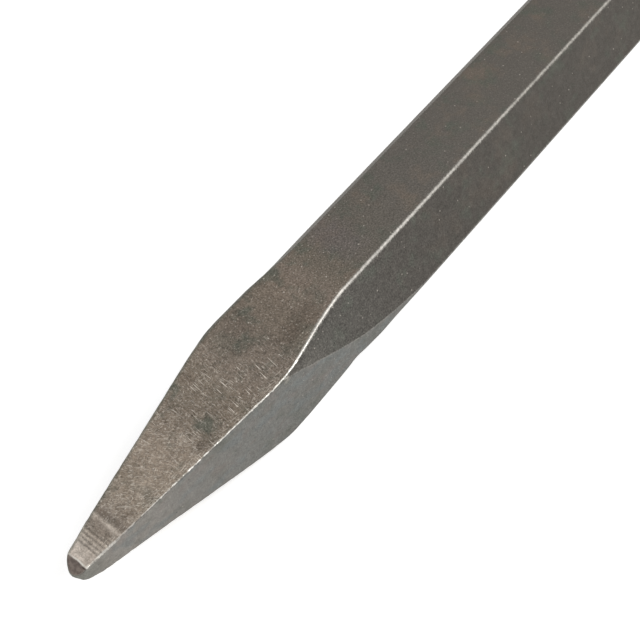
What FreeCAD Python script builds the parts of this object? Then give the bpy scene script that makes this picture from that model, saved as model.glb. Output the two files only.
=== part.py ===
import FreeCAD, Part
import math
import os
import Sketcher

# A pointed chisel for a rotary hammer: one forged piece, in millimetres.
# X runs along the axis, from the struck end face at 0 to the point. Z is up.
# A hexagonal bar, flat side down, is turned to a slotted quick-change shank at one end.
# The other end is forged to a square point, with its corners spread past the hexagon.

# Which point of an edge a sketch constraint means, and the sketch's own origin.
START, END, CENTRE = 1, 2, 3
ORIGIN = (-1, 1)

# How far a cut reaches past the solid.
MARGIN = 1.0

# A hexagon's turn from side to side, and how much further out its corners are than its flats.
HEX_SIDES = 6
HEX_TURN = 360 / HEX_SIDES
HEX_CORNER = 1 / math.cos(math.radians(HEX_TURN / 2))

SIZES = {
    "chisel_length": 250.0,
    "bar_across_flats": 14.0,
    "bar_edge_radius": 0.45,
    "shank_diameter": 10.0,
    "shank_length": 66.0,
    "shank_chamfer": 1.0,
    "shoulder_angle": 30.0,
    "shoulder_fillet": 3.0,
    "drive_slot_width": 3.1,
    "drive_slot_depth": 1.7,
    "drive_slot_length": 26.5,
    "drive_slot_cutter_radius": 12.0,
    "ball_groove_radius": 3.5,
    "ball_groove_depth": 1.5,
    "ball_groove_start": 8.0,
    "ball_groove_length": 22.0,
    "top_face_angle": 8.4,
    "top_root_radius": 43.6,
    "tip_height": 2.66,
    "end_bevel_length": 1.0,
    "side_face_angle": 8.1,
    "side_root_radius": 161.0,
    "tip_width": 3.24,
    "nose_length": 2.2,
    "nose_flat": 0.4,
    "corner_spread_angle": 2.9,
}


def make_sizes(doc):
    """The driving dimensions, one named cell each."""
    sheet = doc.addObject("Spreadsheet::Sheet", "sizes")
    for row, (name, value) in enumerate(SIZES.items(), 1):
        sheet.set(f"A{row}", name)
        sheet.set(f"B{row}", str(value))
        sheet.setAlias(f"B{row}", name)
    doc.recompute()
    return sheet


def new_sketch(body, name, role, offset=None):
    """An empty sketch on one of the body's own origin planes, moved along its normal by offset."""
    plane = next(p for p in body.Origin.OriginFeatures if p.Role == role)
    sketch = body.newObject("Sketcher::SketchObject", name)
    sketch.AttachmentSupport = (plane, [""])
    sketch.MapMode = "FlatFace"
    if offset:
        sketch.setExpression("AttachmentOffset.Base.z", offset)
    return sketch


def line(a, b):
    """A straight edge of a sketch between two points."""
    return Part.LineSegment(FreeCAD.Vector(*a, 0), FreeCAD.Vector(*b, 0))


def arc(a, through, b):
    """A round edge of a sketch from a to b."""
    return Part.Arc(*(FreeCAD.Vector(*p, 0) for p in (a, through, b)))


def draw(sketch, edges, smooth=()):
    """Draws a closed chain of edges and joins their ends, tangent after each edge listed in smooth."""
    ids = sketch.addGeometry(edges, False)
    for k, here in enumerate(ids):
        there = ids[(k + 1) % len(ids)]
        pairs = [(a, b) for a in (START, END) for b in (START, END)]
        a, b = min(pairs, key=lambda p: (sketch.getPoint(here, p[0]) - sketch.getPoint(there, p[1])).Length)
        kind = "Tangent" if k in smooth else "Coincident"
        sketch.addConstraint(Sketcher.Constraint(kind, here, a, there, b))
    return ids


def end_near(sketch, edge, place):
    """Which end of an edge lies at a place."""
    spot = FreeCAD.Vector(*place, 0)
    return min((START, END), key=lambda e: (sketch.getPoint(edge, e) - spot).Length)


def tie(sketch, constraint, expression):
    """Adds a dimension to a sketch and binds it to the sizes."""
    index = sketch.addConstraint(constraint)
    name = f"size_{index}"
    sketch.renameConstraint(index, name)
    sketch.setExpression(f"Constraints.{name}", expression)


def hold(sketch, edge, end, across=None, up=None):
    """Ties a point of a sketch to the origin, across and up."""
    place = sketch.getPoint(edge, end)
    if across:
        tie(sketch, Sketcher.Constraint("DistanceX", *ORIGIN, edge, end, place.x), across)
    if up:
        tie(sketch, Sketcher.Constraint("DistanceY", *ORIGIN, edge, end, place.y), up)


def level(sketch, *edges):
    for edge in edges:
        sketch.addConstraint(Sketcher.Constraint("Horizontal", edge))


def plumb(sketch, *edges):
    for edge in edges:
        sketch.addConstraint(Sketcher.Constraint("Vertical", edge))


def add_feature(body, kind, name, profile, **settings):
    """Makes a feature from a sketch and checks that it changed the solid the way it should."""
    before = body.Shape.Volume if body.Shape and not body.Shape.isNull() else 0.0
    feature = body.newObject(f"PartDesign::{kind}", name)
    feature.Profile = profile
    for key, value in settings.items():
        if isinstance(value, str) and value.startswith("="):
            feature.setExpression(key, value[1:])
        else:
            setattr(feature, key, value)
    body.Document.recompute()
    gain = feature.Shape.Volume - before
    if (gain <= 0) == (kind == "Pad"):
        raise RuntimeError(f"{name} changed the volume by {gain:.3f}")
    return feature


def repeat(body, kind, name, feature, **settings):
    """A pattern or mirror of one feature, made the body's tip."""
    before = body.Shape.Volume
    copies = body.newObject(f"PartDesign::{kind}", name)
    copies.Originals = [feature]
    for key, value in settings.items():
        setattr(copies, key, value)
    body.Tip = copies
    body.Document.recompute()
    if copies.Shape.Volume >= before:
        raise RuntimeError(f"{name} cut nothing")


def hexagon_sketch(body, name, size, offset=None):
    """The bar's section: a hexagon with a flat on top and rounded corners."""
    flat = size("bar_across_flats") / 2
    radius = size("bar_edge_radius")
    reach = (flat - radius) * HEX_CORNER
    half_round = HEX_TURN / 2

    def corner(k, turn):
        """A point of the rounding at corner k, turn degrees from its middle."""
        out = math.radians(k * HEX_TURN)
        around = math.radians(k * HEX_TURN + turn)
        return (
            reach * math.cos(out) + radius * math.cos(around),
            reach * math.sin(out) + radius * math.sin(around),
        )

    edges = []
    for k in range(HEX_SIDES):
        edges.append(arc(corner(k, -half_round), corner(k, 0), corner(k, half_round)))
        edges.append(line(corner(k, half_round), corner(k + 1, -half_round)))
    sketch = new_sketch(body, name, "YZ_Plane", offset)
    ids = draw(sketch, edges, smooth=range(len(edges)))
    rounds, flats = ids[0::2], ids[1::2]
    tie(sketch, Sketcher.Constraint("Radius", rounds[0], radius), "sizes.bar_edge_radius")
    for other in rounds[1:]:
        sketch.addConstraint(Sketcher.Constraint("Equal", rounds[0], other))
    for k, edge in enumerate(flats):
        tie(sketch, Sketcher.Constraint("Distance", *ORIGIN, edge, flat), "sizes.bar_across_flats / 2")
        heading = ((k - 1) * HEX_TURN) % 360 - 180
        if k == 1:
            level(sketch, edge)
        else:
            sketch.addConstraint(Sketcher.Constraint("Angle", edge, math.radians(heading)))
    return sketch


# Where the point begins: the top face's large radius leaves the bar's flat there.
ROOT_START = (
    "sizes.chisel_length - sizes.end_bevel_length"
    " - (sizes.bar_across_flats - sizes.tip_height) / 2 / tan(sizes.top_face_angle)"
    " - sizes.top_root_radius * tan(sizes.top_face_angle / 2)"
)


def make_bar(body, size):
    """The plain bar, and past the root of the point the same section widening to the point's corners."""
    section = hexagon_sketch(body, "bar_section", size)
    add_feature(body, "Pad", "bar", section, Length="=" + ROOT_START)
    section = hexagon_sketch(body, "spread_section", size, ROOT_START)
    add_feature(
        body,
        "Pad",
        "spread",
        section,
        Length="=sizes.chisel_length - (" + ROOT_START + ")",
        TaperAngle="=sizes.corner_spread_angle",
    )


def make_shank(body, size):
    """The turned shank: end chamfer, plain neck, fillet and the conical shoulder that meets the flats."""
    radius = size("shank_diameter") / 2
    chamfer = size("shank_chamfer")
    slope = math.radians(size("shoulder_angle"))
    fillet = size("shoulder_fillet")
    corner = size("shank_length")
    outer = size("bar_across_flats")
    reach = fillet * math.tan(slope / 2)

    first = (-MARGIN, radius - chamfer - MARGIN)
    neck_start = (chamfer, radius)
    neck_end = (corner - reach, radius)
    middle = (
        corner - reach + fillet * math.sin(slope / 2),
        radius + fillet * (1 - math.cos(slope / 2)),
    )
    cone_start = (corner + reach * math.cos(slope), radius + reach * math.sin(slope))
    cone_end = (corner + (outer - radius) / math.tan(slope), outer)
    last = (-MARGIN, outer)
    sketch = new_sketch(body, "shank_profile", "XZ_Plane")
    ids = draw(
        sketch,
        [
            line(first, neck_start),
            line(neck_start, neck_end),
            arc(neck_end, middle, cone_start),
            line(cone_start, cone_end),
            line(cone_end, last),
            line(last, first),
        ],
        smooth=(1, 2),
    )
    bevel, neck, curve, cone, rim, back = ids
    hold(sketch, neck, START, "sizes.shank_chamfer", "sizes.shank_diameter / 2")
    hold(sketch, back, START, f"-{MARGIN}", "sizes.bar_across_flats")
    sketch.addConstraint(Sketcher.Constraint("Angle", bevel, math.pi / 4))
    level(sketch, neck, rim)
    plumb(sketch, back)
    tie(sketch, Sketcher.Constraint("Radius", curve, fillet), "sizes.shoulder_fillet")
    tie(sketch, Sketcher.Constraint("Angle", cone, slope), "sizes.shoulder_angle")
    rise = "(sizes.bar_across_flats - sizes.shank_diameter / 2)"
    hold(sketch, cone, END, f"sizes.shank_length + {rise} / tan(sizes.shoulder_angle)")
    add_feature(body, "Groove", "shank", sketch, ReferenceAxis=(sketch, ["H_Axis"]), Angle=360)


def make_drive_slots(body, size):
    """Two slots, open at the end face, that run out at the cutter's radius."""
    radius = size("shank_diameter") / 2
    floor = radius - size("drive_slot_depth")
    cutter = size("drive_slot_cutter_radius")
    outer = radius + MARGIN
    run = math.acos((cutter - (outer - floor)) / cutter)
    run_start = size("drive_slot_length")

    def on_cutter(angle):
        """A point of the run-out."""
        return (run_start + cutter * math.sin(angle), floor + cutter * (1 - math.cos(angle)))

    first, last = (-MARGIN, floor), (-MARGIN, outer)
    sketch = new_sketch(body, "drive_slot_profile", "XZ_Plane")
    ids = draw(
        sketch,
        [
            line(first, on_cutter(0)),
            arc(on_cutter(0), on_cutter(run / 2), on_cutter(run)),
            line(on_cutter(run), last),
            line(last, first),
        ],
        smooth=(0,),
    )
    bottom, curve, rim, back = ids
    hold(sketch, bottom, START, f"-{MARGIN}", "sizes.shank_diameter / 2 - sizes.drive_slot_depth")
    hold(sketch, bottom, END, "sizes.drive_slot_length")
    hold(sketch, back, START, None, f"sizes.shank_diameter / 2 + {MARGIN}")
    level(sketch, bottom, rim)
    plumb(sketch, back)
    tie(sketch, Sketcher.Constraint("Radius", curve, cutter), "sizes.drive_slot_cutter_radius")
    slot = add_feature(
        body, "Pocket", "drive_slot", sketch, SideType="Symmetric", Length="=sizes.drive_slot_width"
    )
    repeat(body, "PolarPattern", "drive_slots", slot, Axis=(sketch, ["H_Axis"]), Angle=360, Occurrences=2)


def make_ball_grooves(body, size):
    """Two closed grooves with round ends for the locking balls, a quarter turn from the slots."""
    ball = size("ball_groove_radius")
    start = size("ball_groove_start")
    stop = start + size("ball_groove_length")
    height = size("shank_diameter") / 2 - size("ball_groove_depth") + ball
    eighth = ball * math.sqrt(0.5)
    sketch = new_sketch(body, "ball_groove_profile", "XY_Plane")
    ids = draw(
        sketch,
        [
            arc((start, height), (start + ball - eighth, height - eighth), (start + ball, height - ball)),
            line((start + ball, height - ball), (stop - ball, height - ball)),
            arc((stop - ball, height - ball), (stop - ball + eighth, height - eighth), (stop, height)),
            line((stop, height), (start, height)),
        ],
        smooth=(0, 1),
    )
    near, _, far, axis = ids
    level(sketch, axis)
    for edge in (near, far):
        sketch.addConstraint(Sketcher.Constraint("PointOnObject", edge, CENTRE, axis))
        tie(sketch, Sketcher.Constraint("Radius", edge, ball), "sizes.ball_groove_radius")
    top = "sizes.shank_diameter / 2 - sizes.ball_groove_depth + sizes.ball_groove_radius"
    hold(sketch, axis, END, "sizes.ball_groove_start", top)
    hold(sketch, axis, START, "sizes.ball_groove_start + sizes.ball_groove_length")
    turn_line = sketch.addGeometry(line((start, height), (stop, height)), True)
    for end, other in ((START, END), (END, START)):
        sketch.addConstraint(Sketcher.Constraint("Coincident", turn_line, end, axis, other))
    groove = add_feature(
        body, "Groove", "ball_groove", sketch, ReferenceAxis=(sketch, ["Axis0"]), Angle=360
    )
    x_axis = next(a for a in body.Origin.OriginFeatures if a.Role == "X_Axis")
    repeat(body, "PolarPattern", "ball_grooves", groove, Axis=(x_axis, [""]), Angle=360, Occurrences=2)


def taper_sketch(body, size, name, role, side, side_text, root, angle, tip, end, rounded):
    """What is cut off one side of the point.

    The bar's side turns through a large radius into the tapered face, which ends at the tip's
    width in a straight bevel, or in a round nose that the face runs into without a corner.
    """
    length = size("chisel_length")
    radius = size(root)
    slope = math.radians(size(angle))
    corner = (length - size(end), size(tip) / 2)
    nose = (length, size("nose_flat") / 2)
    outer = size("bar_across_flats")
    meet = corner[0] - (side - corner[1]) / math.tan(slope)
    reach = radius * math.tan(slope / 2)

    def on_root(turn):
        """A point of the large radius."""
        return (meet - reach + radius * math.sin(turn), side - radius * (1 - math.cos(turn)))

    back, front = (meet - reach, outer), (length + MARGIN, outer)
    under = (length + MARGIN, nose[1])
    tip_edge = line(corner, nose)
    if rounded:
        chord = math.dist(corner, nose)
        bend = math.atan2(corner[1] - nose[1], nose[0] - corner[0]) - slope
        bulge = chord / 2 * math.tan(bend / 2)
        away = ((corner[1] - nose[1]) / chord, (nose[0] - corner[0]) / chord)
        middle = tuple((corner[k] + nose[k]) / 2 + bulge * away[k] for k in (0, 1))
        tip_edge = arc(corner, middle, nose)
    sketch = new_sketch(body, name, role)
    ids = draw(
        sketch,
        [
            arc(on_root(0), on_root(slope / 2), on_root(slope)),
            line(on_root(slope), corner),
            tip_edge,
            line(nose, under),
            line(under, front),
            line(front, back),
            line(back, on_root(0)),
        ],
        smooth=(0, 1) if rounded else (0,),
    )
    curve, face, _, below, ahead, rim, wall = ids
    hold(sketch, wall, END, None, side_text)
    hold(sketch, face, END, f"sizes.chisel_length - sizes.{end}", f"sizes.{tip} / 2")
    hold(sketch, below, START, "sizes.chisel_length", "sizes.nose_flat / 2")
    hold(sketch, ahead, END, f"sizes.chisel_length + {MARGIN}", "sizes.bar_across_flats")
    level(sketch, below, rim)
    plumb(sketch, ahead, wall)
    tie(sketch, Sketcher.Constraint("Radius", curve, radius), f"sizes.{root}")
    tie(sketch, Sketcher.Constraint("Angle", face, -slope), f"-sizes.{angle}")
    root_end = end_near(sketch, curve, on_root(0))
    sketch.addConstraint(Sketcher.Constraint("Vertical", curve, CENTRE, curve, root_end))
    return sketch


def make_point(body, size):
    """The four tapered faces, and the blunt end: bevelled above and below, rounded at the sides."""
    half_flats = size("bar_across_flats") / 2
    planes = {p.Role: p for p in body.Origin.OriginFeatures}
    sketch = taper_sketch(
        body,
        size,
        "top_taper_profile",
        "XZ_Plane",
        side=half_flats,
        side_text="sizes.bar_across_flats / 2",
        root="top_root_radius",
        angle="top_face_angle",
        tip="tip_height",
        end="end_bevel_length",
        rounded=False,
    )
    cut = add_feature(body, "Pocket", "top_taper", sketch, SideType="Symmetric", Type="ThroughAll")
    repeat(body, "Mirrored", "bottom_taper", cut, MirrorPlane=(planes["XY_Plane"], [""]))
    sketch = taper_sketch(
        body,
        size,
        "side_taper_profile",
        "XY_Plane",
        side=half_flats * HEX_CORNER,
        side_text="sizes.bar_across_flats / sqrt(3)",
        root="side_root_radius",
        angle="side_face_angle",
        tip="tip_width",
        end="nose_length",
        rounded=True,
    )
    cut = add_feature(body, "Pocket", "side_taper", sketch, SideType="Symmetric", Type="ThroughAll")
    repeat(body, "Mirrored", "far_side_taper", cut, MirrorPlane=(planes["XZ_Plane"], [""]))


def check(doc, body):
    """Stops if anything failed or the result isn't one sound solid."""
    for item in doc.Objects:
        if "Invalid" in item.State or "Error" in item.State:
            raise RuntimeError(f"{item.Name} is {item.State}")
    shape = body.Shape
    if shape.isNull() or not shape.isValid() or len(shape.Solids) != 1:
        raise RuntimeError(f"{body.Label} isn't one sound solid")


def main():
    doc = FreeCAD.newDocument("pointed_chisel")
    sheet = make_sizes(doc)

    def size(name):
        return float(sheet.get(name))

    body = doc.addObject("PartDesign::Body", "chisel")
    body.Label = "chisel"
    body.Placement = FreeCAD.Placement()
    make_bar(body, size)
    make_shank(body, size)
    make_drive_slots(body, size)
    make_ball_grooves(body, size)
    make_point(body, size)
    check(doc, body)
    os.makedirs("parts", exist_ok=True)
    body.Shape.exportStep(f"parts/{body.Label}.step")
    box = body.Shape.optimalBoundingBox()
    print(f"{body.Label}: {body.Shape.Volume:.1f} mm3, {len(body.Shape.Faces)} faces")
    print(f"x {box.XMin:.3f} {box.XMax:.3f} y {box.YMin:.3f} {box.YMax:.3f} z {box.ZMin:.3f} {box.ZMax:.3f}")


main()
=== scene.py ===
import math
from types import SimpleNamespace

import bmesh
import bpy
from mathutils import Euler, Matrix, Vector, noise


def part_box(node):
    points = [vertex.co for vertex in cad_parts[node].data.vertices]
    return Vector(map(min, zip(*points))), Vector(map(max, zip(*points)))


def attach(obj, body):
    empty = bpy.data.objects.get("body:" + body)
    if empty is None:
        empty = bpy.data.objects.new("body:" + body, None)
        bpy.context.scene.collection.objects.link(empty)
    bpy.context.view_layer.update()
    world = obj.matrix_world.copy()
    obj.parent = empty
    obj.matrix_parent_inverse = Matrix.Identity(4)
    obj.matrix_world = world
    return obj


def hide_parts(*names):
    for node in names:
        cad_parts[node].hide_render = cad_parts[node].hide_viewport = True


# A pointed chisel for a rotary hammer lies on one flat of its hexagonal bar.
# X runs along it from the struck end to the point, and Z is up.
# Sizes are in millimetres while the piece is shaped. The finished mesh is in metres.

MM = 0.001

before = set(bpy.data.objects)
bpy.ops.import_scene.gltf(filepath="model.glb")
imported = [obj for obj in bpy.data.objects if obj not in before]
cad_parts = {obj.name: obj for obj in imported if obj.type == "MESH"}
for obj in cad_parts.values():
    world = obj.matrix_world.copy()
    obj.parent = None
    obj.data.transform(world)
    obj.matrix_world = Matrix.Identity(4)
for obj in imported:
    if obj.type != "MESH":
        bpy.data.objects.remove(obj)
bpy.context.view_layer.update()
box_low, box_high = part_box("chisel")

# The bar.
CHISEL_LENGTH = box_high.x / MM
HALF_FLATS = box_high.z / MM
HEX_HALF_TURN = math.radians(30)
HALF_CORNERS = HALF_FLATS / math.cos(HEX_HALF_TURN)

# The point's upper and lower faces and their bevels at the end.
TOP_ANGLE = math.radians(8.4)
TOP_ROOT_RADIUS = 43.6
TOP_TIP = 1.348
UPPER_BEVEL = 1.12
UPPER_END = 0.08
UPPER_BEVEL_EASE = 0.04
LOWER_BEVEL = 3.0
LOWER_END = 0.43
LOWER_FULLNESS = 1.4

# The point's side faces and the nose as seen from above.
SIDE_ANGLE = math.radians(8.1)
SIDE_ROOT_RADIUS = 161.0
SIDE_TIP = 1.62
SIDE_TIP_PLACE = 247.8
NOSE_LENGTH = 2.88
NOSE_FULLNESS = 5.0
NOSE_ROUNDING = 0.61
NOSE_END = 0.08

# The end's upper edge leans: it lies further out on the near side, from one place across to another.
END_SHIFT = 0.2
END_SHIFT_ACROSS = (-0.2, 1.2)
END_SHIFT_START = 248.0
END_SHIFT_EASE = 0.8
END_SHIFT_STOP = CHISEL_LENGTH - 0.1
END_SHIFT_FADE = 0.6

# The slanting flats spread from the root of the point: the upper pair early and evenly, the lower pair
# later, with bulges and a hollow, each a place along X, a length and a height.
SPREAD_ANGLE = math.radians(2.9)
LOWER_SPREAD_ANGLE = math.radians(4.6)
LOWER_SPREAD_START = 209.3
LOWER_BULGES = ((204.2, 1.8, 0.1), (208.6, 1.1, -0.12), (218.2, 1.3, -0.09))
TONGUE_EASE = 0.8

# The rounding of the long edges: on the bar, on the point past its root's length, and at the end.
BAR_EDGE = 0.45
ROOT_LENGTH = 13.0
POINT_EDGE = 0.22
END_EDGE = 0.13
ROUNDING_LIMIT = 0.8

# Where the modelled bar takes over from the turned shank, past its shoulder, and how the shank is sliced.
SHANK_CUT = 72.5
BAR_START = 73.5
SHANK_SLICE = 2.0
NEARLY_FLAT = math.radians(1)
SHARP_EDGE = math.radians(35)

# How the mesh runs: lengths of the piece and the number of rings on each, and points round a quarter.
RING_RUNS = (
    (BAR_START, 190.0, 36),
    (190.0, 206.0, 26),
    (206.0, 243.0, 110),
    (243.0, 248.75, 92),
    (248.75, 249.05, 8),
    (249.05, 249.85, 12),
    (249.85, CHISEL_LENGTH, 10),
)
SIDE_STEPS = 20
SLANT_STEPS = 25
TOP_STEPS = 22
TURN_SHARE = 0.8

# How much the point reaches past its plain tapers on its far side and below: places along X and lengths.
FAR_REACH = ((205, 0.03), (209, 0.14), (211, 0.19), (219, -0.07), (223.5, 0.11), (245, 0.08), (247, 0))
FAR_REACH_EASE = 2.0
LOWER_REACH = ((219.5, 0), (222.5, 0.28), (226.5, 0.32), (231, 0.22), (236, 0.09), (242, 0))

# What forging has left in the surface: long waves, creases on the worked faces, nicks along the ridges.
POINT_START = 204.0
POINT_EASE = 12.0
BAR_WAVE_SHARE = 0.15
WAVE_LENGTH = 4.5
WAVE_DEPTH = 0.05
CREASE_LENGTH = 1.3
CREASE_DEPTH = 0.02
CREASE_EASE = 0.5
NICK_LENGTH = 0.9
NICK_LEVEL = 0.1
NICK_DEPTH = 0.07
NICK_REACH = 0.25
MEAN_DEPTH = 0.035
CREASE_SEED = Vector((7, 0, 0))
NICK_SEED = Vector((0, 0, 53))

# The marks across the end of the point: a step, its raised lip, then ripples.
MARK_LEAN = 0.1
MARK_DRIFT = 0.2
MARK_DRIFT_LENGTH = 2.0
MARK_JITTER = 0.06
MARK_JITTER_LENGTH = 0.5
MARK_SEED = Vector((0, 31, 0))
STEP_PLACE = 243.45
STEP_WIDTH = 0.36
STEP_DEPTH = 0.021
LIP_PLACE = 244.1
LIP_WIDTH = 0.3
LIP_HEIGHT = 0.03
RIPPLE_START = 245.0
RIPPLE_END = 247.8
RIPPLE_FADE = 0.6
RIPPLE_PITCH = 0.49
RIPPLE_DEPTH = 0.035
MARK_EASE = 0.3


def taper(x, level, angle, radius, tip, tip_x):
    """Half the bar's size at x: level, then the large radius, then the tapered face to the tip."""
    meet = tip_x - (level - tip) / math.tan(angle)
    start = meet - radius * math.tan(angle / 2)
    if x <= start:
        return level
    if x <= start + radius * math.sin(angle):
        return level - radius + math.sqrt(radius**2 - (x - start) ** 2)
    return tip + (tip_x - x) * math.tan(angle)


def soft_least(a, b, width):
    """The smaller of two values, eased where they meet."""
    overlap = max(width - abs(a - b), 0) / width
    return min(a, b) - width * overlap**2 / 4


def swell(value):
    """Eases a share from 0 to 1."""
    share = min(max(value, 0.0), 1.0)
    return share * share * (3 - 2 * share)


def hump(x, place, width):
    """1 at a place and falling away on both sides of it, over about the given width."""
    return math.exp(-(((x - place) / width) ** 2))


def between(x, *stops):
    """A value that runs straight from stop to stop, each a place along X and the value there."""
    if x <= stops[0][0]:
        return stops[0][1]
    for (x0, v0), (x1, v1) in zip(stops, stops[1:]):
        if x <= x1:
            return v0 + (v1 - v0) * (x - x0) / (x1 - x0)
    return stops[-1][1]


def top_face(x):
    """Half the height at x, without the end's bevels."""
    return taper(x, HALF_FLATS, TOP_ANGLE, TOP_ROOT_RADIUS, TOP_TIP, CHISEL_LENGTH - UPPER_BEVEL)


def upper_height(x):
    """How high the top is at x, with its short flat bevel."""
    bevel = UPPER_END + (CHISEL_LENGTH - x) * (TOP_TIP - UPPER_END) / UPPER_BEVEL
    return soft_least(top_face(x), bevel, UPPER_BEVEL_EASE)


def lower_height(x):
    """How low the underside is at x, with its long rounded bevel."""
    share = max(1 - (CHISEL_LENGTH - x) / LOWER_BEVEL, 0.0)
    face = top_face(x) + between(x, *LOWER_REACH)
    return LOWER_END + (face - LOWER_END) * (1 - share**LOWER_FULLNESS)


def side_reach(x):
    """Half the width at x, with the nose rounded as seen from above."""
    face = taper(x, HALF_CORNERS, SIDE_ANGLE, SIDE_ROOT_RADIUS, SIDE_TIP, SIDE_TIP_PLACE)
    share = min(max(1 - (CHISEL_LENGTH - x) / NOSE_LENGTH, 0.0), 1.0)
    return NOSE_END + (face - NOSE_END) * (1 - share**NOSE_FULLNESS) ** NOSE_ROUNDING


def root_start():
    """Where the top face's large radius leaves the bar's flat."""
    meet = CHISEL_LENGTH - UPPER_BEVEL - (HALF_FLATS - TOP_TIP) / math.tan(TOP_ANGLE)
    return meet - TOP_ROOT_RADIUS * math.tan(TOP_ANGLE / 2)


ROOT_START = root_start()


def upper_slant_reach(x):
    """How far the two upper slanting flats are from the axis."""
    return HALF_FLATS + max(0.0, x - ROOT_START) * math.tan(SPREAD_ANGLE)


def lower_slant_reach(x):
    """How far the two lower slanting flats are from the axis."""
    spread = max(0.0, x - LOWER_SPREAD_START) * math.tan(LOWER_SPREAD_ANGLE)
    bulges = sum(height * hump(x, place, length) for place, length, height in LOWER_BULGES)
    return HALF_FLATS + spread + bulges


def edge_radius(x):
    """The rounding of the long edges, smaller along the point than on the bar."""
    root_end = ROOT_START + ROOT_LENGTH
    return between(x, (ROOT_START, BAR_EDGE), (root_end, POINT_EDGE), (CHISEL_LENGTH, END_EDGE))


def walk(pieces, steps):
    """Points spaced evenly along straight and round pieces, closer where the outline turns."""

    def measure(piece):
        start, end, radius, turn = piece[:4]
        return (end - start).length + abs(turn) * (radius + TURN_SHARE)

    total = sum(measure(p) for p in pieces)
    points = []
    for k in range(steps):
        left = total * k / steps
        for piece in pieces:
            size = measure(piece)
            if left <= size:
                break
            left -= size
        share = min(left / size, 1.0) if size else 0.0
        start, end, radius, turn, heading = piece
        angle = heading + turn * share
        points.append(start.lerp(end, share) + radius * Vector((math.cos(angle), math.sin(angle))))
    return points


def quarter(x, slant, top):
    """A quarter of the section at x as points (y, z), from the side's middle to the top's middle."""
    side = side_reach(x)
    radius = min(edge_radius(x), ROUNDING_LIMIT * side, ROUNDING_LIMIT * top)
    cos, sin = math.cos(HEX_HALF_TURN), math.sin(HEX_HALF_TURN)
    low_y = min(side - radius, (slant - radius) / cos)
    high_z = top - radius
    low_z = max(0.0, soft_least((slant - radius - low_y * cos) / sin, high_z, TONGUE_EASE))
    high_y = soft_least((slant - radius - high_z * sin) / cos, low_y, TONGUE_EASE)
    middle, low, high, crown = (
        Vector((low_y, 0)),
        Vector((low_y, low_z)),
        Vector((high_y, high_z)),
        Vector((0, high_z)),
    )
    half, full, upright = HEX_HALF_TURN / 2, HEX_HALF_TURN, math.pi / 2
    side_run = [(middle, low, radius, 0.0, 0.0), (low, low, radius, half, 0.0)]
    slant_run = [
        (low, low, radius, half, half),
        (low, high, radius, 0.0, full),
        (high, high, radius, full, full),
    ]
    top_run = [(high, high, radius, upright - 2 * full, 2 * full), (high, crown, radius, 0.0, upright)]
    points = walk(side_run, SIDE_STEPS) + walk(slant_run, SLANT_STEPS) + walk(top_run, TOP_STEPS)
    return points + [Vector((0, top))]


def measured(points):
    """Each point of a quarter, and how far past the lower edge and past the ridge it lies."""
    run = [0.0]
    for a, b in zip(points, points[1:]):
        run.append(run[-1] + (b - a).length)
    edge, ridge = run[SIDE_STEPS], run[SIDE_STEPS + SLANT_STEPS]
    return [(point, place - edge, place - ridge) for point, place in zip(points, run)]


def half_section(x):
    """Half of the section at x, from the middle of the underside round to the middle of the top."""
    upper = measured(quarter(x, upper_slant_reach(x), upper_height(x)))
    lower = measured(quarter(x, lower_slant_reach(x), lower_height(x)))
    below = [(Vector((p.x, -p.y)), edge, ridge) for p, edge, ridge in reversed(lower)]
    return below + upper[1:]


def ring_places():
    """Where the rings of the mesh stand along X."""
    places = [RING_RUNS[0][0]]
    for start, end, count in RING_RUNS:
        places += [start + (end - start) * (k + 1) / count for k in range(count)]
    return places


def lean_end(place):
    """How far along X a point near the end is moved, so that the upper edge leans."""
    low_y, high_y = END_SHIFT_ACROSS
    across = swell((place.y - low_y) / (high_y - low_y))
    rising = swell((place.x - END_SHIFT_START) / END_SHIFT_EASE)
    return END_SHIFT * across * rising * swell((END_SHIFT_STOP - place.x) / END_SHIFT_FADE)


def bar_and_point():
    """The hexagonal bar and its point: a grid laid round half of it and mirrored, closed at the nose."""
    bm = bmesh.new()
    edge_layer = bm.verts.layers.float.new("edge")
    ridge_layer = bm.verts.layers.float.new("ridge")
    places = ring_places()
    sections = [half_section(x) for x in places]
    columns, rows = len(places) - 1, len(sections[0]) - 1
    grid = bmesh.ops.create_grid(bm, x_segments=columns, y_segments=rows, size=1.0)
    for vert in grid["verts"]:
        i = round((vert.co.x + 1) / 2 * columns)
        j = round((vert.co.y + 1) / 2 * rows)
        point, vert[edge_layer], vert[ridge_layer] = sections[i][j]
        vert.co = (places[i], *point)
    bmesh.ops.mirror(bm, geom=bm.verts[:] + bm.edges[:] + bm.faces[:], axis="Y", merge_dist=1e-5)
    nose = [e for e in bm.edges if e.is_boundary and e.verts[0].co.x > CHISEL_LENGTH - 0.01]
    bmesh.ops.edgeloop_fill(bm, edges=nose)
    bmesh.ops.recalc_face_normals(bm, faces=bm.faces)
    for vert in bm.verts:
        along = lean_end(vert.co)
        vert.co.y -= between(vert.co.x, *FAR_REACH) * swell(-vert.co.y / FAR_REACH_EASE)
        vert.co.x += along
    return bm


def mark_depth(place):
    """How deep the marks across the end of the point are at a place."""
    drift = MARK_DRIFT * noise.noise(place / MARK_DRIFT_LENGTH + MARK_SEED)
    jitter = MARK_JITTER * noise.noise(place / MARK_JITTER_LENGTH)
    x = place.x - MARK_LEAN * place.y + drift + jitter
    step = STEP_DEPTH * hump(x, STEP_PLACE, STEP_WIDTH)
    lip = LIP_HEIGHT * hump(x, LIP_PLACE, LIP_WIDTH)
    in_ripples = swell((x - RIPPLE_START) / RIPPLE_FADE) * swell((RIPPLE_END - x) / RIPPLE_FADE)
    ripples = RIPPLE_DEPTH * (0.5 - 0.5 * math.cos(math.tau * (x - RIPPLE_START) / RIPPLE_PITCH))
    return step - lip + in_ripples * ripples


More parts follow.
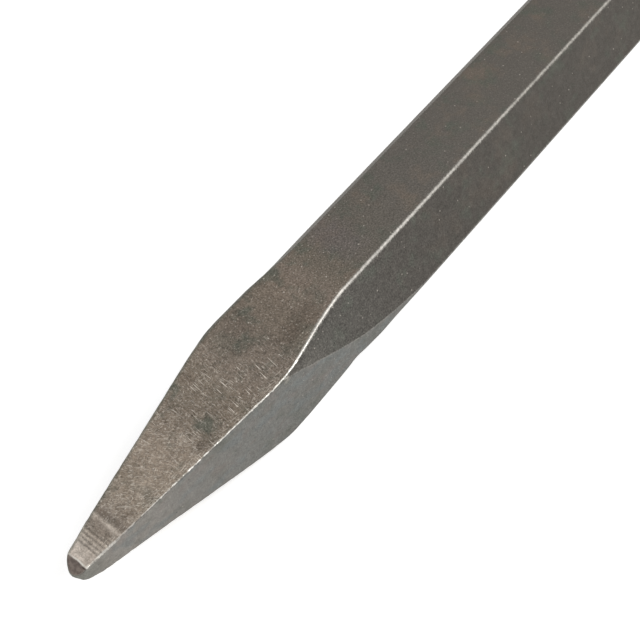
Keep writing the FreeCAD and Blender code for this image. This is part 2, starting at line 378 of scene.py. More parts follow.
def worn_depth(place, ridge):
    """How deep the surface lies under its true form. On the point it goes both ways."""
    on_point = swell((place.x - POINT_START) / POINT_EASE)
    wave = 0.5 + 0.5 * noise.noise(place / WAVE_LENGTH)
    depth = WAVE_DEPTH * wave * (BAR_WAVE_SHARE + (1 - BAR_WAVE_SHARE) * on_point)
    crease = 1 - abs(noise.noise(place / CREASE_LENGTH + CREASE_SEED))
    depth += swell(ridge / CREASE_EASE) * on_point * CREASE_DEPTH * crease**3
    nick = 2 * max(noise.noise(place / NICK_LENGTH + NICK_SEED) - NICK_LEVEL, 0.0)
    depth += swell(1 - abs(ridge) / NICK_REACH) * on_point * NICK_DEPTH * min(nick, 1.0)
    return depth - on_point * MEAN_DEPTH


def top_marks(place, ridge):
    """The marks' depth on the top and the underside, fading towards the ridges."""
    return mark_depth(place) * swell(ridge / MARK_EASE) if place.x > STEP_PLACE - 2 else 0.0


def wear(bm):
    """Presses the forging's waves, creases, marks and nicks into the bar and its point."""
    ridge_layer = bm.verts.layers.float["ridge"]
    hollow_layer = bm.verts.layers.float.new("hollow")
    bm.normal_update()
    sunk = []
    for vert in bm.verts:
        # The marks' depth is kept as well, for their painted shade and highlight in the material.
        vert[hollow_layer] = top_marks(vert.co, vert[ridge_layer])
        sunk.append(vert.normal * (worn_depth(vert.co, vert[ridge_layer]) + vert[hollow_layer]))
    for vert, shift in zip(bm.verts, sunk):
        vert.co -= shift


# What the shank's points hold of the bar's own values: far from any edge, and no marks.
SHANK_VALUES = (("edge", 2.0), ("ridge", 2.0), ("hollow", 0.0))


def cut_across(bm, x, clear_outer=False):
    """Cuts the mesh at x, and takes away what lies beyond where that is asked."""
    bmesh.ops.bisect_plane(
        bm,
        geom=bm.verts[:] + bm.edges[:] + bm.faces[:],
        dist=1e-3,
        plane_co=(x, 0, 0),
        plane_no=(1, 0, 0),
        clear_outer=clear_outer,
    )


def add_shank(bm, node):
    """Joins the turned shank to the bar: a merged copy of the solid's own mesh, cut off on the bar."""
    shank = bmesh.new()
    shank.from_mesh(node.data)
    bmesh.ops.scale(shank, vec=(1 / MM, 1 / MM, 1 / MM), verts=shank.verts)
    bmesh.ops.remove_doubles(shank, verts=shank.verts, dist=1e-4)
    bmesh.ops.dissolve_limit(shank, angle_limit=NEARLY_FLAT, verts=shank.verts, edges=shank.edges)
    for k in range(1, int(SHANK_CUT / SHANK_SLICE) + 1):
        cut_across(shank, k * SHANK_SLICE)
    cut_across(shank, SHANK_CUT, clear_outer=True)
    for name, value in SHANK_VALUES:
        layer = shank.verts.layers.float.new(name)
        for vert in shank.verts:
            vert[layer] = value
    held = bpy.data.meshes.new("shank")
    shank.to_mesh(held)
    shank.free()
    bm.from_mesh(held)
    bpy.data.meshes.remove(held)
    open_edges = [e for e in bm.edges if e.is_boundary]
    bmesh.ops.bridge_loops(bm, edges=open_edges)
    bmesh.ops.recalc_face_normals(bm, faces=bm.faces)


def make_chisel():
    """The whole chisel as one closed mesh."""
    bm = bar_and_point()
    wear(bm)
    add_shank(bm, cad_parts["chisel"])
    for face in bm.faces:
        face.smooth = True
    bmesh.ops.scale(bm, vec=(MM, MM, MM), verts=bm.verts)
    mesh = bpy.data.meshes.new("chisel_body")
    bm.to_mesh(mesh)
    bm.free()
    mesh.set_sharp_from_angle(angle=SHARP_EDGE)
    piece = bpy.data.objects.new("chisel_body", mesh)
    bpy.context.scene.collection.objects.link(piece)
    return piece


def tone(red, green, blue):
    """A colour in levels of 0 to 255, as the eye reads them, turned to the linear form of a shader."""

    def linear(level):
        share = level / 255
        return share / 12.92 if share < 0.04045 else ((share + 0.055) / 1.055) ** 2.4

    return (linear(red), linear(green), linear(blue), 1.0)


class Finish:
    """A material's nodes, added one by one in short calls. Coordinates are millimetres on the piece."""

    def __init__(self, name):
        self.material = bpy.data.materials.new(name)
        self.material.use_nodes = True
        self.nodes = self.material.node_tree.nodes
        self.links = self.material.node_tree.links
        self.surface = self.nodes["Principled BSDF"]
        place = self.nodes.new("ShaderNodeTexCoord")
        to_mm = self.nodes.new("ShaderNodeVectorMath")
        to_mm.operation = "SCALE"
        to_mm.inputs["Scale"].default_value = 1 / MM
        self.links.new(place.outputs["Object"], to_mm.inputs[0])
        self.place = to_mm.outputs[0]

    def put(self, socket, value):
        """Links a node's output to the socket, or sets a plain value on it."""
        if isinstance(value, bpy.types.NodeSocket):
            self.links.new(value, socket)
        else:
            socket.default_value = value

    def math(self, operation, *values):
        """One step of arithmetic."""
        node = self.nodes.new("ShaderNodeMath")
        node.operation = operation
        for socket, value in zip(node.inputs, values):
            self.put(socket, value)
        return node.outputs[0]

    def ramp(self, value, start, end, low=0.0, high=1.0, smooth=True):
        """Takes value from low at start to high at end, and holds it there."""
        node = self.nodes.new("ShaderNodeMapRange")
        node.interpolation_type = "SMOOTHSTEP" if smooth else "LINEAR"
        self.put(node.inputs["Value"], value)
        amounts = (("From Min", start), ("From Max", end), ("To Min", low), ("To Max", high))
        for name, amount in amounts:
            self.put(node.inputs[name], amount)
        return node.outputs["Result"]

    def mix(self, share, a, b, blend="MIX"):
        """The colour a with a share of b over it."""
        node = self.nodes.new("ShaderNodeMix")
        node.data_type = "RGBA"
        node.blend_type = blend
        for socket, value in ((node.inputs[0], share), (node.inputs[6], a), (node.inputs[7], b)):
            self.put(socket, value)
        return node.outputs[2]

    def stretch(self, lengths=(1, 1, 1), turn=0.0, shift=(0, 0, 0)):
        """Coordinates for a pattern with the given lengths along X, Y and Z, turned about Z and moved."""
        node = self.nodes.new("ShaderNodeMapping")
        node.vector_type = "TEXTURE"
        self.put(node.inputs["Vector"], self.place)
        node.inputs["Scale"].default_value = lengths
        node.inputs["Rotation"].default_value = (0, 0, turn)
        node.inputs["Location"].default_value = shift
        return node.outputs[0]

    def noise(self, length, detail=2.0, rough=0.5, twist=0.0, place=None):
        """Soft noise from 0 to 1 whose features are about length long."""
        node = self.nodes.new("ShaderNodeTexNoise")
        self.put(node.inputs["Vector"], place or self.place)
        node.inputs["Scale"].default_value = 1 / length
        node.inputs["Detail"].default_value = detail
        node.inputs["Roughness"].default_value = rough
        node.inputs["Distortion"].default_value = twist
        return node.outputs["Fac"]

    def attribute(self, name):
        """A value that the mesh holds at each of its points."""
        node = self.nodes.new("ShaderNodeAttribute")
        node.attribute_name = name
        return node.outputs["Fac"]

    def along(self, value, stops):
        """A colour that runs from stop to stop, each a value and the tone there."""
        first, last = stops[0][0], stops[-1][0]
        node = self.nodes.new("ShaderNodeValToRGB")
        self.put(node.inputs[0], self.ramp(value, first, last, smooth=False))
        elements = node.color_ramp.elements
        while len(elements) < len(stops):
            elements.new(0.5)
        for element, (at, colour) in zip(elements, stops):
            element.position = (at - first) / (last - first)
            element.color = tone(*colour)
        return node.outputs["Color"]


# The tones of the top along X: the bar, the browner root, the worked point, a pale line, the dark band of
# the step and its pale lip, painted shade in the step and a painted highlight on the lip, and the lighter
# end.
TOP_TONES_AND_STEP_SHADING = (
    (150, (91, 87, 82)),
    (190, (93, 89, 84)),
    (202, (96, 91, 84)),
    (206, (102, 95, 86)),
    (209, (114, 104, 95)),
    (211, (116, 106, 96)),
    (214, (110, 101, 91)),
    (218, (109, 100, 91)),
    (222.5, (119, 109, 99)),
    (225, (114, 105, 94)),
    (230, (114, 104, 93)),
    (235, (138, 126, 113)),
    (240, (135, 124, 111)),
    (242.75, (131, 121, 110)),
    (242.9, (152, 143, 133)),
    (243.05, (129, 119, 109)),
    (243.6, (131, 121, 111)),
    # Painted shade in the step, then a painted highlight on its lip.
    (243.76, (112, 105, 97)),
    (243.86, (150, 141, 131)),
    (244.0, (168, 159, 149)),
    (244.4, (162, 153, 143)),
    (244.65, (131, 122, 112)),
    (245.4, (143, 133, 122)),
    (246.2, (181, 170, 158)),
    (247.6, (180, 170, 160)),
    (248.8, (186, 176, 166)),
)

# The tones of the slanting flats and of the sides: the shoulder, the bar and the point. Besides their own
# tones, the slanting flats hold painted shade and the sides painted light.
SLANT_TONES_AND_SHADE = (
    (78, (91, 87, 82)),
    (110, (77, 74, 70)),
    (188, (77, 74, 70)),
    (200, (80, 77, 73)),
    (212, (84, 82, 78)),
    (220, (98, 95, 90)),
)
SIDE_TONES_AND_LIGHT = (
    (78, (91, 87, 82)),
    (110, (111, 111, 108)),
    (200, (111, 111, 108)),
    (225, (114, 114, 111)),
    (235, (122, 120, 116)),
    (243, (131, 128, 123)),
    (245.5, (132, 129, 124)),
    (247.3, (127, 125, 120)),
    (248.5, (125, 124, 119)),
    (250, (114, 114, 108)),
)

# The tones of the rubbed ridges with their painted highlight: faint on the bar, bright on the point.
WORN_AND_HIGHLIGHT_TONES = (
    (168, (115, 112, 107)),
    (177, (124, 121, 116)),
    (188, (131, 128, 123)),
    (197, (142, 139, 134)),
    (203, (133, 130, 125)),
    (214, (146, 143, 138)),
    (218, (184, 181, 175)),
    (221, (212, 209, 202)),
    (240, (228, 224, 217)),
    (244, (196, 192, 185)),
    (249, (204, 200, 192)),
)

# The scale's other tones, and those of scratches, specks and the end facet, the last darkened as painted
# shade.
BROWN_TONE = (110, 98, 87)
GREEN_TONE = (82, 87, 79)
DARK_TONE = (84, 76, 68)
PLUM_TONE = (98, 91, 91)
BLUE_TONE = (112, 117, 117)
PINK_TONE = (124, 115, 110)
LIGHT_TONE = (158, 146, 133)
PALE_TONE = (206, 198, 187)
FAINT_TONE = (138, 135, 129)
END_TONE_IN_SHADE = (121, 111, 104)
END_DARK_TONE_IN_SHADE = (98, 89, 84)

# Single ragged blots on the top: a place, half lengths, a tone and how strong. The first, a scuff, has
# also rubbed the scratches out.
SCUFF_PLACE = (229.3, 1.8, 4.2)
SCUFF_LENGTHS = (1.4, 1.5, 4.0)
BLOTS = (
    (SCUFF_PLACE, SCUFF_LENGTHS, GREEN_TONE, 0.7),
    ((231.6, 2.9, 3.9), (1.0, 0.9, 4.0), DARK_TONE, 0.5),
    ((213.0, 2.6, 6.6), (4.5, 1.4, 4.0), DARK_TONE, 0.45),
    ((210.5, -4.6, 7.0), (2.4, 1.6, 4.0), GREEN_TONE, 0.4),
    ((220.3, -2.6, 5.6), (1.6, 2.4, 4.0), GREEN_TONE, 0.26),
    ((219.7, 5.4, 5.0), (0.7, 0.4, 0.5), PALE_TONE, 0.3),
    ((201.5, -1.0, 7.0), (2.6, 4.0, 4.0), PLUM_TONE, 0.4),
    ((239.1, 0.6, 2.8), (1.5, 0.9, 4.0), LIGHT_TONE, 0.4),
    ((232.3, 0.3, 3.8), (1.3, 0.9, 4.0), LIGHT_TONE, 0.3),
)

# Where the end facet starts, and what the dull and the rubbed steel throw back.
END_LINE = 248.86
STEEL_TINT = (0.7, 0.68, 0.65, 1.0)
DULL_ROUGHNESS = 0.5
BAR_RUB_ROUGHNESS = 0.55
POINT_RUB_ROUGHNESS = 0.34
BUMP_DEPTH = 0.05


def scaled(steel, colour, amount):
    """The colour made lighter or darker by a factor."""
    return steel.mix(1.0, colour, amount, "MULTIPLY")


def darkened(steel, colour, share):
    """The colour with a share of its light taken away."""
    return scaled(steel, colour, steel.math("SUBTRACT", 1.0, share))


def grained(steel, colour, pattern, strength):
    """The colour with a noise's light and dark grain in it."""
    lift = steel.ramp(pattern, 0.28, 0.72, low=-1.0, high=1.0, smooth=False)
    return scaled(steel, colour, steel.math("MULTIPLY_ADD", lift, strength, 1.0))


def product(steel, *values):
    """All of the values multiplied together."""
    result = values[0]
    for value in values[1:]:
        result = steel.math("MULTIPLY", result, value)
    return result


def greater(steel, a, b):
    """The larger of two values."""
    return steel.math("MAXIMUM", a, b)


def off(steel, value, middle):
    """How far a value is from a middle one."""
    return steel.math("ABSOLUTE", steel.math("SUBTRACT", value, middle))


def crests(steel, pattern, thin):
    """The thin lines along which a noise passes its middle."""
    return steel.ramp(off(steel, pattern, 0.5), thin, 0.0)


def strokes(steel, lengths, turn, shift, start, end, twist=0.0):
    """Strokes of about the given lengths, turned about Z: the peaks of a stretched noise."""
    place = steel.stretch(lengths, turn, (shift, shift, shift))
    return steel.ramp(steel.noise(1.0, detail=1.0, twist=twist, place=place), start, end)


def specks(steel, spacing, size, shift):
    """Dots of about the given size, scattered about the given spacing apart."""
    node = steel.nodes.new("ShaderNodeTexVoronoi")
    steel.put(node.inputs["Vector"], steel.stretch(shift=(shift, shift, shift)))
    node.inputs["Scale"].default_value = 1 / spacing
    return steel.ramp(node.outputs["Distance"], size / spacing, 0.4 * size / spacing)


def clouds(steel, lengths, shift, start, end, share, detail=2.0, rough=0.5):
    """Clouds of about the given lengths, from 0 to a share: a noise cut off between two levels."""
    place = steel.stretch(lengths, shift=shift)
    return steel.ramp(steel.noise(1.0, detail, rough, place=place), start, end, high=share)


def blot(steel, place, lengths):
    """A ragged patch of the given half lengths about a place, from 0 to 1."""
    apart = steel.nodes.new("ShaderNodeVectorMath")
    apart.operation = "LENGTH"
    steel.put(apart.inputs[0], steel.stretch(lengths, shift=place))
    ragged = steel.math("MULTIPLY_ADD", steel.noise(0.9, detail=3.0), 1.6, apart.outputs["Value"])
    return steel.ramp(ragged, 2.1, 1.1)


def read_zones(steel):
    """Where a point of the surface is: its place, and the kinds of face and stretch, each from 0 to 1."""
    split = steel.nodes.new("ShaderNodeSeparateXYZ")
    steel.put(split.inputs[0], steel.place)
    x, y = split.outputs["X"], split.outputs["Y"]
    edge, ridge = steel.attribute("edge"), steel.attribute("ridge")
    top = steel.ramp(ridge, -0.04, 0.06)
    near = steel.ramp(y, -0.5, 0.5)
    end_x = steel.math("SUBTRACT", x, steel.ramp(y, *END_SHIFT_ACROSS, high=END_SHIFT))
    return SimpleNamespace(
        x=x,
        y=y,
        ridge=ridge,
        off_edge=steel.math("ABSOLUTE", edge),
        off_ridge=steel.math("ABSOLUTE", ridge),
        top=top,
        side=steel.ramp(edge, 0.06, -0.04),
        near=near,
        bar=steel.ramp(x, 76.0, 96.0),
        taper=product(steel, top, steel.ramp(x, 202.0, 218.0)),
        worked=steel.ramp(steel.math("MULTIPLY_ADD", near, 3.5, x), 218.5, 225.5),
        end_x=end_x,
        end=product(steel, top, steel.ramp(end_x, END_LINE, END_LINE + 0.06)),
        scuff=blot(steel, SCUFF_PLACE, SCUFF_LENGTHS),
    )


def face_tones_and_shading(steel, zone):
    """Each kind of face's tones along the chisel, and the end's marks, with painted light and shade in
    both.
    """
    ragged = steel.math("SUBTRACT", steel.noise(0.35, detail=3.0), 0.5)
    wandering = steel.math("MULTIPLY_ADD", ragged, 0.45, zone.x)
    leaning = steel.math("MULTIPLY_ADD", zone.y, -MARK_LEAN, wandering)
    # The slanting flats are darker and the sides lighter than the top, partly as painted shade and
    # painted light.
    colour = steel.mix(zone.side, steel.along(zone.x, SLANT_TONES_AND_SHADE), steel.along(zone.x, SIDE_TONES_AND_LIGHT))
    colour = steel.mix(zone.top, colour, steel.along(leaning, TOP_TONES_AND_STEP_SHADING))
    # Painted shade in the marks' hollows and a painted highlight on the raised lip.
    hollow = steel.attribute("hollow")
    return scaled(steel, colour, steel.ramp(hollow, -0.02, 0.04, low=1.27, high=0.45, smooth=False))


def patches(steel, zone, colour):
    """Clouds of browner and greener scale, bluer and pinker ones on the sides, and the single blots."""
    brown = clouds(steel, (4.0, 4.0, 4.0), (0, 0, 0), 0.5, 0.72, share=0.45, detail=3.0, rough=0.6)
    brown = product(steel, brown, steel.ramp(zone.top, 0.0, 1.0, low=0.3))
    green = clouds(steel, (2.6, 2.6, 2.6), (40, 0, 0), 0.5, 0.7, share=0.5, detail=3.0, rough=0.6)
    green = product(steel, green, steel.ramp(zone.near, 0.0, 1.0, low=1.2, high=0.8))
    green = product(steel, green, steel.ramp(zone.x, 241.0, 245.0, low=1.0, high=0.3))
    blue = clouds(steel, (3.5, 2.0, 2.0), (0, 80, 0), 0.5, 0.66, share=0.5)
    blue = product(steel, blue, zone.side)
    pink = clouds(steel, (2.5, 1.5, 1.5), (0, 0, 60), 0.52, 0.68, share=0.3)
    pink = product(steel, pink, zone.side)
    layers = [(brown, BROWN_TONE), (green, GREEN_TONE), (blue, BLUE_TONE), (pink, PINK_TONE)]
    for place, lengths, levels, strength in BLOTS:
        layers.append((product(steel, blot(steel, place, lengths), strength), levels))
    for share, levels in layers:
        colour = steel.mix(share, colour, tone(*levels))
    return colour


def far_edge_tint_and_shade(steel, zone, colour):
    """The dull, greener band along the far edge of the point's top, partly painted shade."""
    ragged = steel.math("MULTIPLY_ADD", steel.noise(0.5), 0.2, zone.off_ridge)
    # Painted shade along the far edge only, in a greener tone.
    band = product(
        steel,
        steel.ramp(ragged, 0.5, 0.2, high=0.5),
        steel.ramp(zone.near, 1.0, 0.0),
        steel.ramp(zone.x, 206.0, 216.0),
    )
    return steel.mix(band, colour, tone(*GREEN_TONE))


def grain(steel, zone, colour, leather):
    """Blasted grain: fine on the bar, bright points at the root, and as leather on the point, partly
    painted light and shade.
    """
    strength = product(
        steel,
        steel.ramp(zone.x, 170.0, 207.0, low=0.12, high=0.33),
        steel.ramp(zone.x, 224.0, 236.0, low=1.0, high=0.65),
        steel.ramp(zone.side, 0.0, 1.0, low=1.0, high=0.7),
    )
    colour = grained(steel, colour, steel.noise(0.19, detail=1.0), strength)
    mottle = steel.noise(0.8, detail=3.0, rough=0.6)
    colour = grained(steel, colour, mottle, steel.ramp(zone.top, 0.0, 1.0, low=0.12, high=0.03))
    # On the point, the leather's light and dark are partly painted light and shade of its relief.
    colour = grained(steel, colour, leather, steel.math("MULTIPLY_ADD", zone.taper, 0.18, 0.03))
    broad = steel.noise(2.2, detail=2.0)
    colour = grained(steel, colour, broad, product(steel, zone.taper, 0.09))
    lines = crests(steel, steel.noise(0.9, detail=2.0, twist=1.0), 0.03)
    lines = product(steel, lines, zone.taper, steel.ramp(zone.x, 222.0, 232.0, high=0.26))
    colour = darkened(steel, colour, lines)
    points = clouds(steel, (0.2, 0.2, 0.2), (3, 3, 3), 0.66, 0.8, share=0.27, detail=0.0)
    points = product(
        steel,
        points,
        steel.ramp(zone.x, 195.0, 208.0, low=0.3),
        steel.ramp(zone.top, 0.0, 1.0, low=0.3),
    )
    return steel.mix(points, colour, tone(*PALE_TONE))


def dots(steel, zone, colour):
    """Sparse bright specks, and small dark pits."""
    bright = product(
        steel,
        specks(steel, spacing=1.3, size=0.13, shift=0),
        steel.ramp(zone.side, 0.0, 1.0, low=0.5, high=0.3),
        steel.ramp(zone.x, 196.0, 210.0, low=0.6),
    )
    colour = steel.mix(bright, colour, tone(*PALE_TONE))
    pits = product(
        steel,
        specks(steel, spacing=1.5, size=0.17, shift=5),
        steel.ramp(zone.x, 190.0, 215.0, low=0.15, high=0.42),
    )
    return darkened(steel, colour, pits)


def ridge_root_shade(steel, zone, colour):
    """Painted shade: the dark, uneven band under the near ridge at the root of the point."""
    band = product(
        steel,
        steel.ramp(zone.ridge, -1.5, -0.15),
        steel.ramp(zone.top, 1.0, 0.0),
        steel.ramp(zone.x, 207.0, 213.0),
        steel.ramp(zone.x, 221.0, 219.0),
        steel.ramp(steel.noise(0.6, detail=3.0, rough=0.7), 0.4, 0.6, low=0.05, high=0.34),
    )
    return darkened(steel, colour, band)


def creases(steel, zone):
    """Painted highlights on the worked faces' creases: across the upper point, leaning on the lower, and
    curls.
    """
    across = product(
        steel,
        strokes(steel, (0.11, 0.7, 0.7), turn=-0.2, shift=7, start=0.56, end=0.74, twist=0.5),
        steel.ramp(zone.worked, 0.0, 1.0, high=0.28),
        steel.ramp(zone.x, 229.0, 237.0, low=1.0, high=0.3),
    )
    ending = steel.ramp(zone.x, 242.9, 243.3, low=1.0, high=0.4)
    leaning = product(
        steel,
        strokes(steel, (0.17, 0.55, 0.55), turn=0.6, shift=0, start=0.52, end=0.74, twist=1.1),
        steel.ramp(zone.x, 224.0, 233.0, high=0.46),
        steel.ramp(off(steel, zone.x, STEP_PLACE), 0.3, 0.5),
        ending,
    )
    winding = steel.noise(0.9, detail=2.0, twist=1.4, place=steel.stretch(shift=(17, 0, 0)))
    curls = product(
        steel,
        crests(steel, winding, 0.022),
        clouds(steel, (0.9, 0.9, 0.9), (9, 9, 9), 0.49, 0.57, share=0.62),
        steel.ramp(zone.x, 218.0, 227.0),
        ending,
    )
    return product(steel, greater(steel, greater(steel, across, leaning), curls), zone.taper)


def scratches(steel, zone):
    """Straight scratches: across the upper point, a little turned, and along its near ridge."""
    across = greater(
        steel,
        strokes(steel, (0.1, 2.4, 2.4), turn=-0.2, shift=21, start=0.655, end=0.735),
        strokes(steel, (0.1, 1.5, 1.5), turn=-0.06, shift=33, start=0.68, end=0.76),
    )
    across = product(
        steel,
        across,
        steel.ramp(steel.noise(1.6, detail=1.0), 0.4, 0.52),
        zone.worked,
        steel.ramp(zone.x, 230.0, 238.0, low=1.0, high=0.2),
    )
    along = product(
        steel,
        strokes(steel, (1.8, 0.1, 0.1), turn=-0.14, shift=45, start=0.58, end=0.7),
        zone.near,
        steel.ramp(zone.off_ridge, 1.3, 0.7),
        steel.ramp(zone.x, 213.0, 220.0, high=0.5),
    )
    return product(steel, greater(steel, across, along), zone.taper)


def end_facet_shade_and_highlight(steel, zone, colour):
    """The end facet darkened as painted shade, a painted highlight on its upper edge, and a notch's
    shade.
    """
    # The facet's own mottled tone, darkened as painted shade.
    mottle = steel.ramp(steel.noise(0.6, detail=3.0), 0.4, 0.6)
    facet = steel.mix(mottle, tone(*END_DARK_TONE_IN_SHADE), tone(*END_TONE_IN_SHADE))
    colour = steel.mix(zone.end, colour, facet)
    # A painted highlight along the end's upper edge, in the ridges' tones.
    line = product(
        steel,
        steel.ramp(off(steel, zone.end_x, END_LINE), 0.12, 0.04),
        steel.ramp(steel.noise(0.5), 0.35, 0.5, low=0.4),
        zone.top,
    )
    colour = steel.mix(line, colour, steel.along(zone.x, WORN_AND_HIGHLIGHT_TONES))
    # A short dark line of painted shade for the notch behind the near corner.
    notch = product(
        steel,
        steel.ramp(off(steel, zone.end_x, END_LINE + 0.17), 0.09, 0.03),
        steel.ramp(zone.y, 0.7, 1.0, high=0.6),
        zone.top,
    )
    return darkened(steel, colour, notch)


def rubbed_and_highlit_ridges(steel, zone):
    """Rubbed ridges with a painted highlight: wide and granular on the bar, thin and broken on the point.
    """
    half_width = steel.math("ADD", steel.ramp(zone.x, 213.0, 221.0, low=0.2, high=0.0), 0.1)
    half_width = steel.math("ADD", half_width, steel.ramp(zone.x, 226.0, 234.0, low=0.02, high=0.0))
    half_width = steel.math("ADD", half_width, steel.ramp(zone.x, 243.0, 245.0, high=0.1))
    granular = steel.noise(0.22, detail=2.0, rough=0.6)
    reach = product(steel, steel.ramp(granular, 0.3, 0.7, low=0.45, high=1.55, smooth=False), half_width)
    sway = steel.math("MULTIPLY_ADD", steel.noise(0.7, detail=2.0), 0.2, -0.1)
    sway = product(steel, sway, steel.ramp(zone.x, 217.0, 223.0))
    off_line = steel.math("ABSOLUTE", steel.math("ADD", zone.ridge, sway))
    rubbed = steel.ramp(off_line, reach, product(steel, reach, 0.3))

    lengthwise = steel.noise(1.0, detail=3.0, rough=0.6, place=steel.stretch((0.9, 10, 10)))
    gaps = greater(
        steel,
        steel.ramp(zone.x, 220.0, 236.0, low=0.75, high=0.15),
        steel.ramp(zone.x, 242.0, 245.0, high=0.5),
    )
    broken = steel.ramp(zone.x, 216.0, 222.0, low=1.0, high=steel.ramp(lengthwise, 0.42, 0.56, low=gaps))
    faint = greater(
        steel,
        steel.ramp(zone.x, 236.0, 238.5, low=1.0, high=0.5),
        steel.ramp(zone.x, 243.5, 246.5, low=0.5, high=1.0),
    )
    # The painted highlight is kept to the near ridges; the far ones keep little of it.
    highlit_side = steel.ramp(zone.near, 0.0, 1.0, low=0.12)
    before_end = steel.ramp(zone.end_x, END_LINE + 0.1, END_LINE)
    return product(steel, rubbed, broken, faint, highlit_side, zone.bar, before_end)


def worn_lower_edges(steel, zone):
    """Where the edges between the slanting flats and the sides have rubbed: faint and speckled."""
    return product(
        steel,
        steel.ramp(zone.off_edge, 0.14, 0.04),
        steel.ramp(steel.noise(0.25, detail=1.0), 0.4, 0.6, low=0.1, high=0.7),
        zone.bar,
        steel.ramp(zone.x, 221.0, 218.0),
    )


def forged_steel():
    """Blasted and tempered steel, worked on the point and rubbed bright along its ridges."""
    steel = Finish("forged_steel")
    zone = read_zones(steel)
    oval = steel.stretch((0.42, 0.66, 0.66), turn=0.4)
    leather = steel.noise(1.0, detail=3.0, rough=0.6, twist=0.4, place=oval)
    colour = far_edge_tint_and_shade(steel, zone, patches(steel, zone, face_tones_and_shading(steel, zone)))
    # Painted shade under the near ridge at the root of the point.
    colour = ridge_root_shade(steel, zone, dots(steel, zone, grain(steel, zone, colour, leather)))
    # Painted highlights on the creases' crests, and pale scratches; both also raise the bump.
    raised = greater(steel, creases(steel, zone), scratches(steel, zone))
    raised = product(steel, raised, steel.ramp(zone.scuff, 0.0, 1.0, low=1.0, high=0.3))
    colour = end_facet_shade_and_highlight(steel, zone, steel.mix(raised, colour, tone(*PALE_TONE)))
    # The ridges' rubbed tone with its painted highlight, which also sets their roughness.
    rubbed_and_highlit = rubbed_and_highlit_ridges(steel, zone)
    bright = grained(steel, steel.along(zone.x, WORN_AND_HIGHLIGHT_TONES), steel.noise(0.4), 0.3)
    colour = steel.mix(rubbed_and_highlit, colour, bright)
    colour = steel.mix(worn_lower_edges(steel, zone), colour, tone(*FAINT_TONE))

    steel.put(steel.surface.inputs["Base Color"], colour)
    steel.surface.inputs["Metallic"].default_value = 1.0
    steel.surface.inputs["Specular Tint"].default_value = STEEL_TINT
    rubbed_roughness = steel.ramp(zone.x, 200.0, 220.0, low=BAR_RUB_ROUGHNESS, high=POINT_RUB_ROUGHNESS)
    roughness = steel.ramp(rubbed_and_highlit, 0.0, 1.0, low=DULL_ROUGHNESS, high=rubbed_roughness)
    steel.put(steel.surface.inputs["Roughness"], roughness)
    bump = steel.nodes.new("ShaderNodeBump")
    bump.inputs["Distance"].default_value = BUMP_DEPTH * MM
    steel.put(bump.inputs["Strength"], steel.math("MULTIPLY_ADD", zone.taper, 0.75, 0.25))
    steel.put(bump.inputs["Height"], steel.math("MULTIPLY_ADD", raised, 0.8, leather))
    steel.put(steel.surface.inputs["Normal"], bump.outputs["Normal"])
    return steel.material


# The white floor, in metres, and how much its seen tone is lifted above its lit one.
FLOOR_MIDDLE_X = 0.15
FLOOR_HALF_SIZE = 1.0
FLOOR_TONE = 0.85
PAPER_GLOW = 0.53


def backdrop_rays(nodes, links):
    """1 for the rays that see the background itself: the camera's, reflected and transmitted ones."""
    path = nodes.new("ShaderNodeLightPath")
    total = path.outputs["Is Camera Ray"]
    for name in ("Is Glossy Ray", "Is Transmission Ray"):
        add = nodes.new("ShaderNodeMath")
        add.operation = "ADD"
        add.use_clamp = True
        links.new(total, add.inputs[0])
        links.new(path.outputs[name], add.inputs[1])
        total = add.outputs[0]
    return total


def white_floor():
    """Matt white that the camera sees a little brighter than the light makes it."""
    material = bpy.data.materials.new("white_floor")
    material.use_nodes = True
    nodes, links = material.node_tree.nodes, material.node_tree.links
    nodes.clear()
    out = nodes.new("ShaderNodeOutputMaterial")
    matt = nodes.new("ShaderNodeBsdfDiffuse")
    matt.inputs["Color"].default_value = (FLOOR_TONE, FLOOR_TONE, FLOOR_TONE, 1)
    glow = nodes.new("ShaderNodeEmission")
    lift = nodes.new("ShaderNodeMath")
    lift.operation = "MULTIPLY"
    lift.inputs[1].default_value = PAPER_GLOW
    both = nodes.new("ShaderNodeAddShader")
    links.new(backdrop_rays(nodes, links), lift.inputs[0])
    links.new(lift.outputs[0], glow.inputs["Strength"])
    links.new(matt.outputs[0], both.inputs[0])
    links.new(glow.outputs[0], both.inputs[1])
    links.new(both.outputs[0], out.inputs["Surface"])
    return material


def make_floor():
    """The floor that the chisel lies on."""
    bm = bmesh.new()
    bmesh.ops.create_grid(bm, x_segments=1, y_segments=1, size=FLOOR_HALF_SIZE)
    bmesh.ops.translate(bm, vec=(FLOOR_MIDDLE_X, 0, box_low.z), verts=bm.verts)
    mesh = bpy.data.meshes.new("floor")
    bm.to_mesh(mesh)
    bm.free()
    mesh.materials.append(white_floor())
    piece = bpy.data.objects.new("floor", mesh)
    bpy.context.scene.collection.objects.link(piece)
    return piece


# The camera: its place, how it is turned and its lens, in millimetres.
CAMERA_PLACE = Vector((312.249, 76.569, 161.858)) * MM
CAMERA_AZIMUTH = math.radians(125.804)
CAMERA_ELEVATION = math.radians(51.488)
CAMERA_ROLL = math.radians(-0.1475)
CAMERA_LENS = 101.25
CAMERA_SENSOR = 36


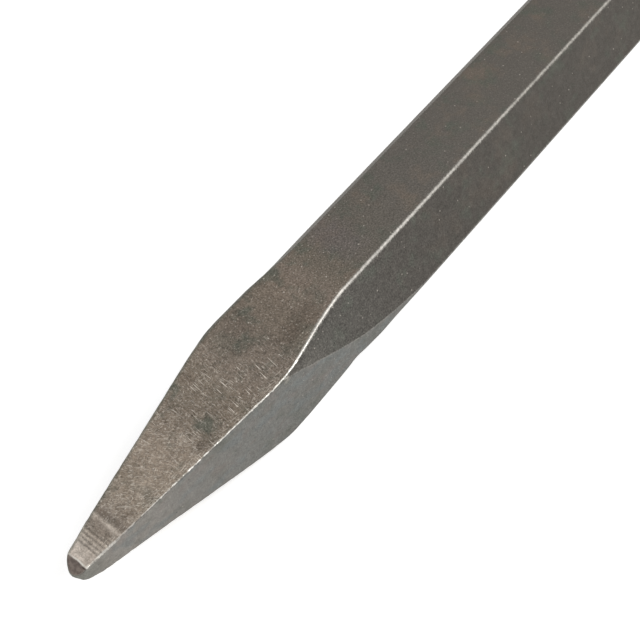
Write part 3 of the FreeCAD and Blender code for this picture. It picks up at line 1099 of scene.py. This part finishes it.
def make_camera():
    """The camera at the photograph's viewing angle."""
    data = bpy.data.cameras.new("camera")
    data.lens = CAMERA_LENS
    data.sensor_width = CAMERA_SENSOR
    data.clip_start = 0.01
    camera = bpy.data.objects.new("camera", data)
    bpy.context.scene.collection.objects.link(camera)
    facing = Euler((math.pi / 2 - CAMERA_ELEVATION, 0, CAMERA_AZIMUTH)).to_matrix()
    facing = facing @ Matrix.Rotation(CAMERA_ROLL, 3, "Z")
    camera.matrix_world = Matrix.Translation(CAMERA_PLACE) @ facing.to_4x4()
    bpy.context.scene.camera = camera


# The room's light, and one broad lamp at the back on the right, in metres and watts.
ROOM_LEVEL = 0.6
LAMP_TARGET = Vector((0.2, 0, 0))
LAMP_OFFSET = 0.5 * Vector((-0.59, 0.48, 0.65))
LAMP_SIZE = 0.4
LAMP_POWER = 2.0


def make_room():
    """The even light of a white room, which the camera and reflections see as pure white."""
    world = bpy.data.worlds.new("room")
    bpy.context.scene.world = world
    world.use_nodes = True
    nodes, links = world.node_tree.nodes, world.node_tree.links
    back = nodes["Background"]
    back.inputs["Color"].default_value = (1, 1, 1, 1)
    level = nodes.new("ShaderNodeMapRange")
    level.inputs["To Min"].default_value = ROOM_LEVEL
    level.inputs["To Max"].default_value = 1.0
    links.new(backdrop_rays(nodes, links), level.inputs["Value"])
    links.new(level.outputs["Result"], back.inputs["Strength"])


def make_lamp():
    """The broad lamp."""
    data = bpy.data.lights.new("back_right", "AREA")
    data.shape = "DISK"
    data.size = LAMP_SIZE
    data.energy = LAMP_POWER
    lamp = bpy.data.objects.new("back_right", data)
    bpy.context.scene.collection.objects.link(lamp)
    lamp.location = LAMP_TARGET + LAMP_OFFSET
    lamp.rotation_euler = (-LAMP_OFFSET).to_track_quat("-Z", "Y").to_euler()


make_camera()
make_room()
make_lamp()
floor = make_floor()

chisel = make_chisel()
chisel.data.materials.append(forged_steel())
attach(chisel, "root")
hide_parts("chisel")

bpy.context.scene.view_settings.view_transform = "Standard"
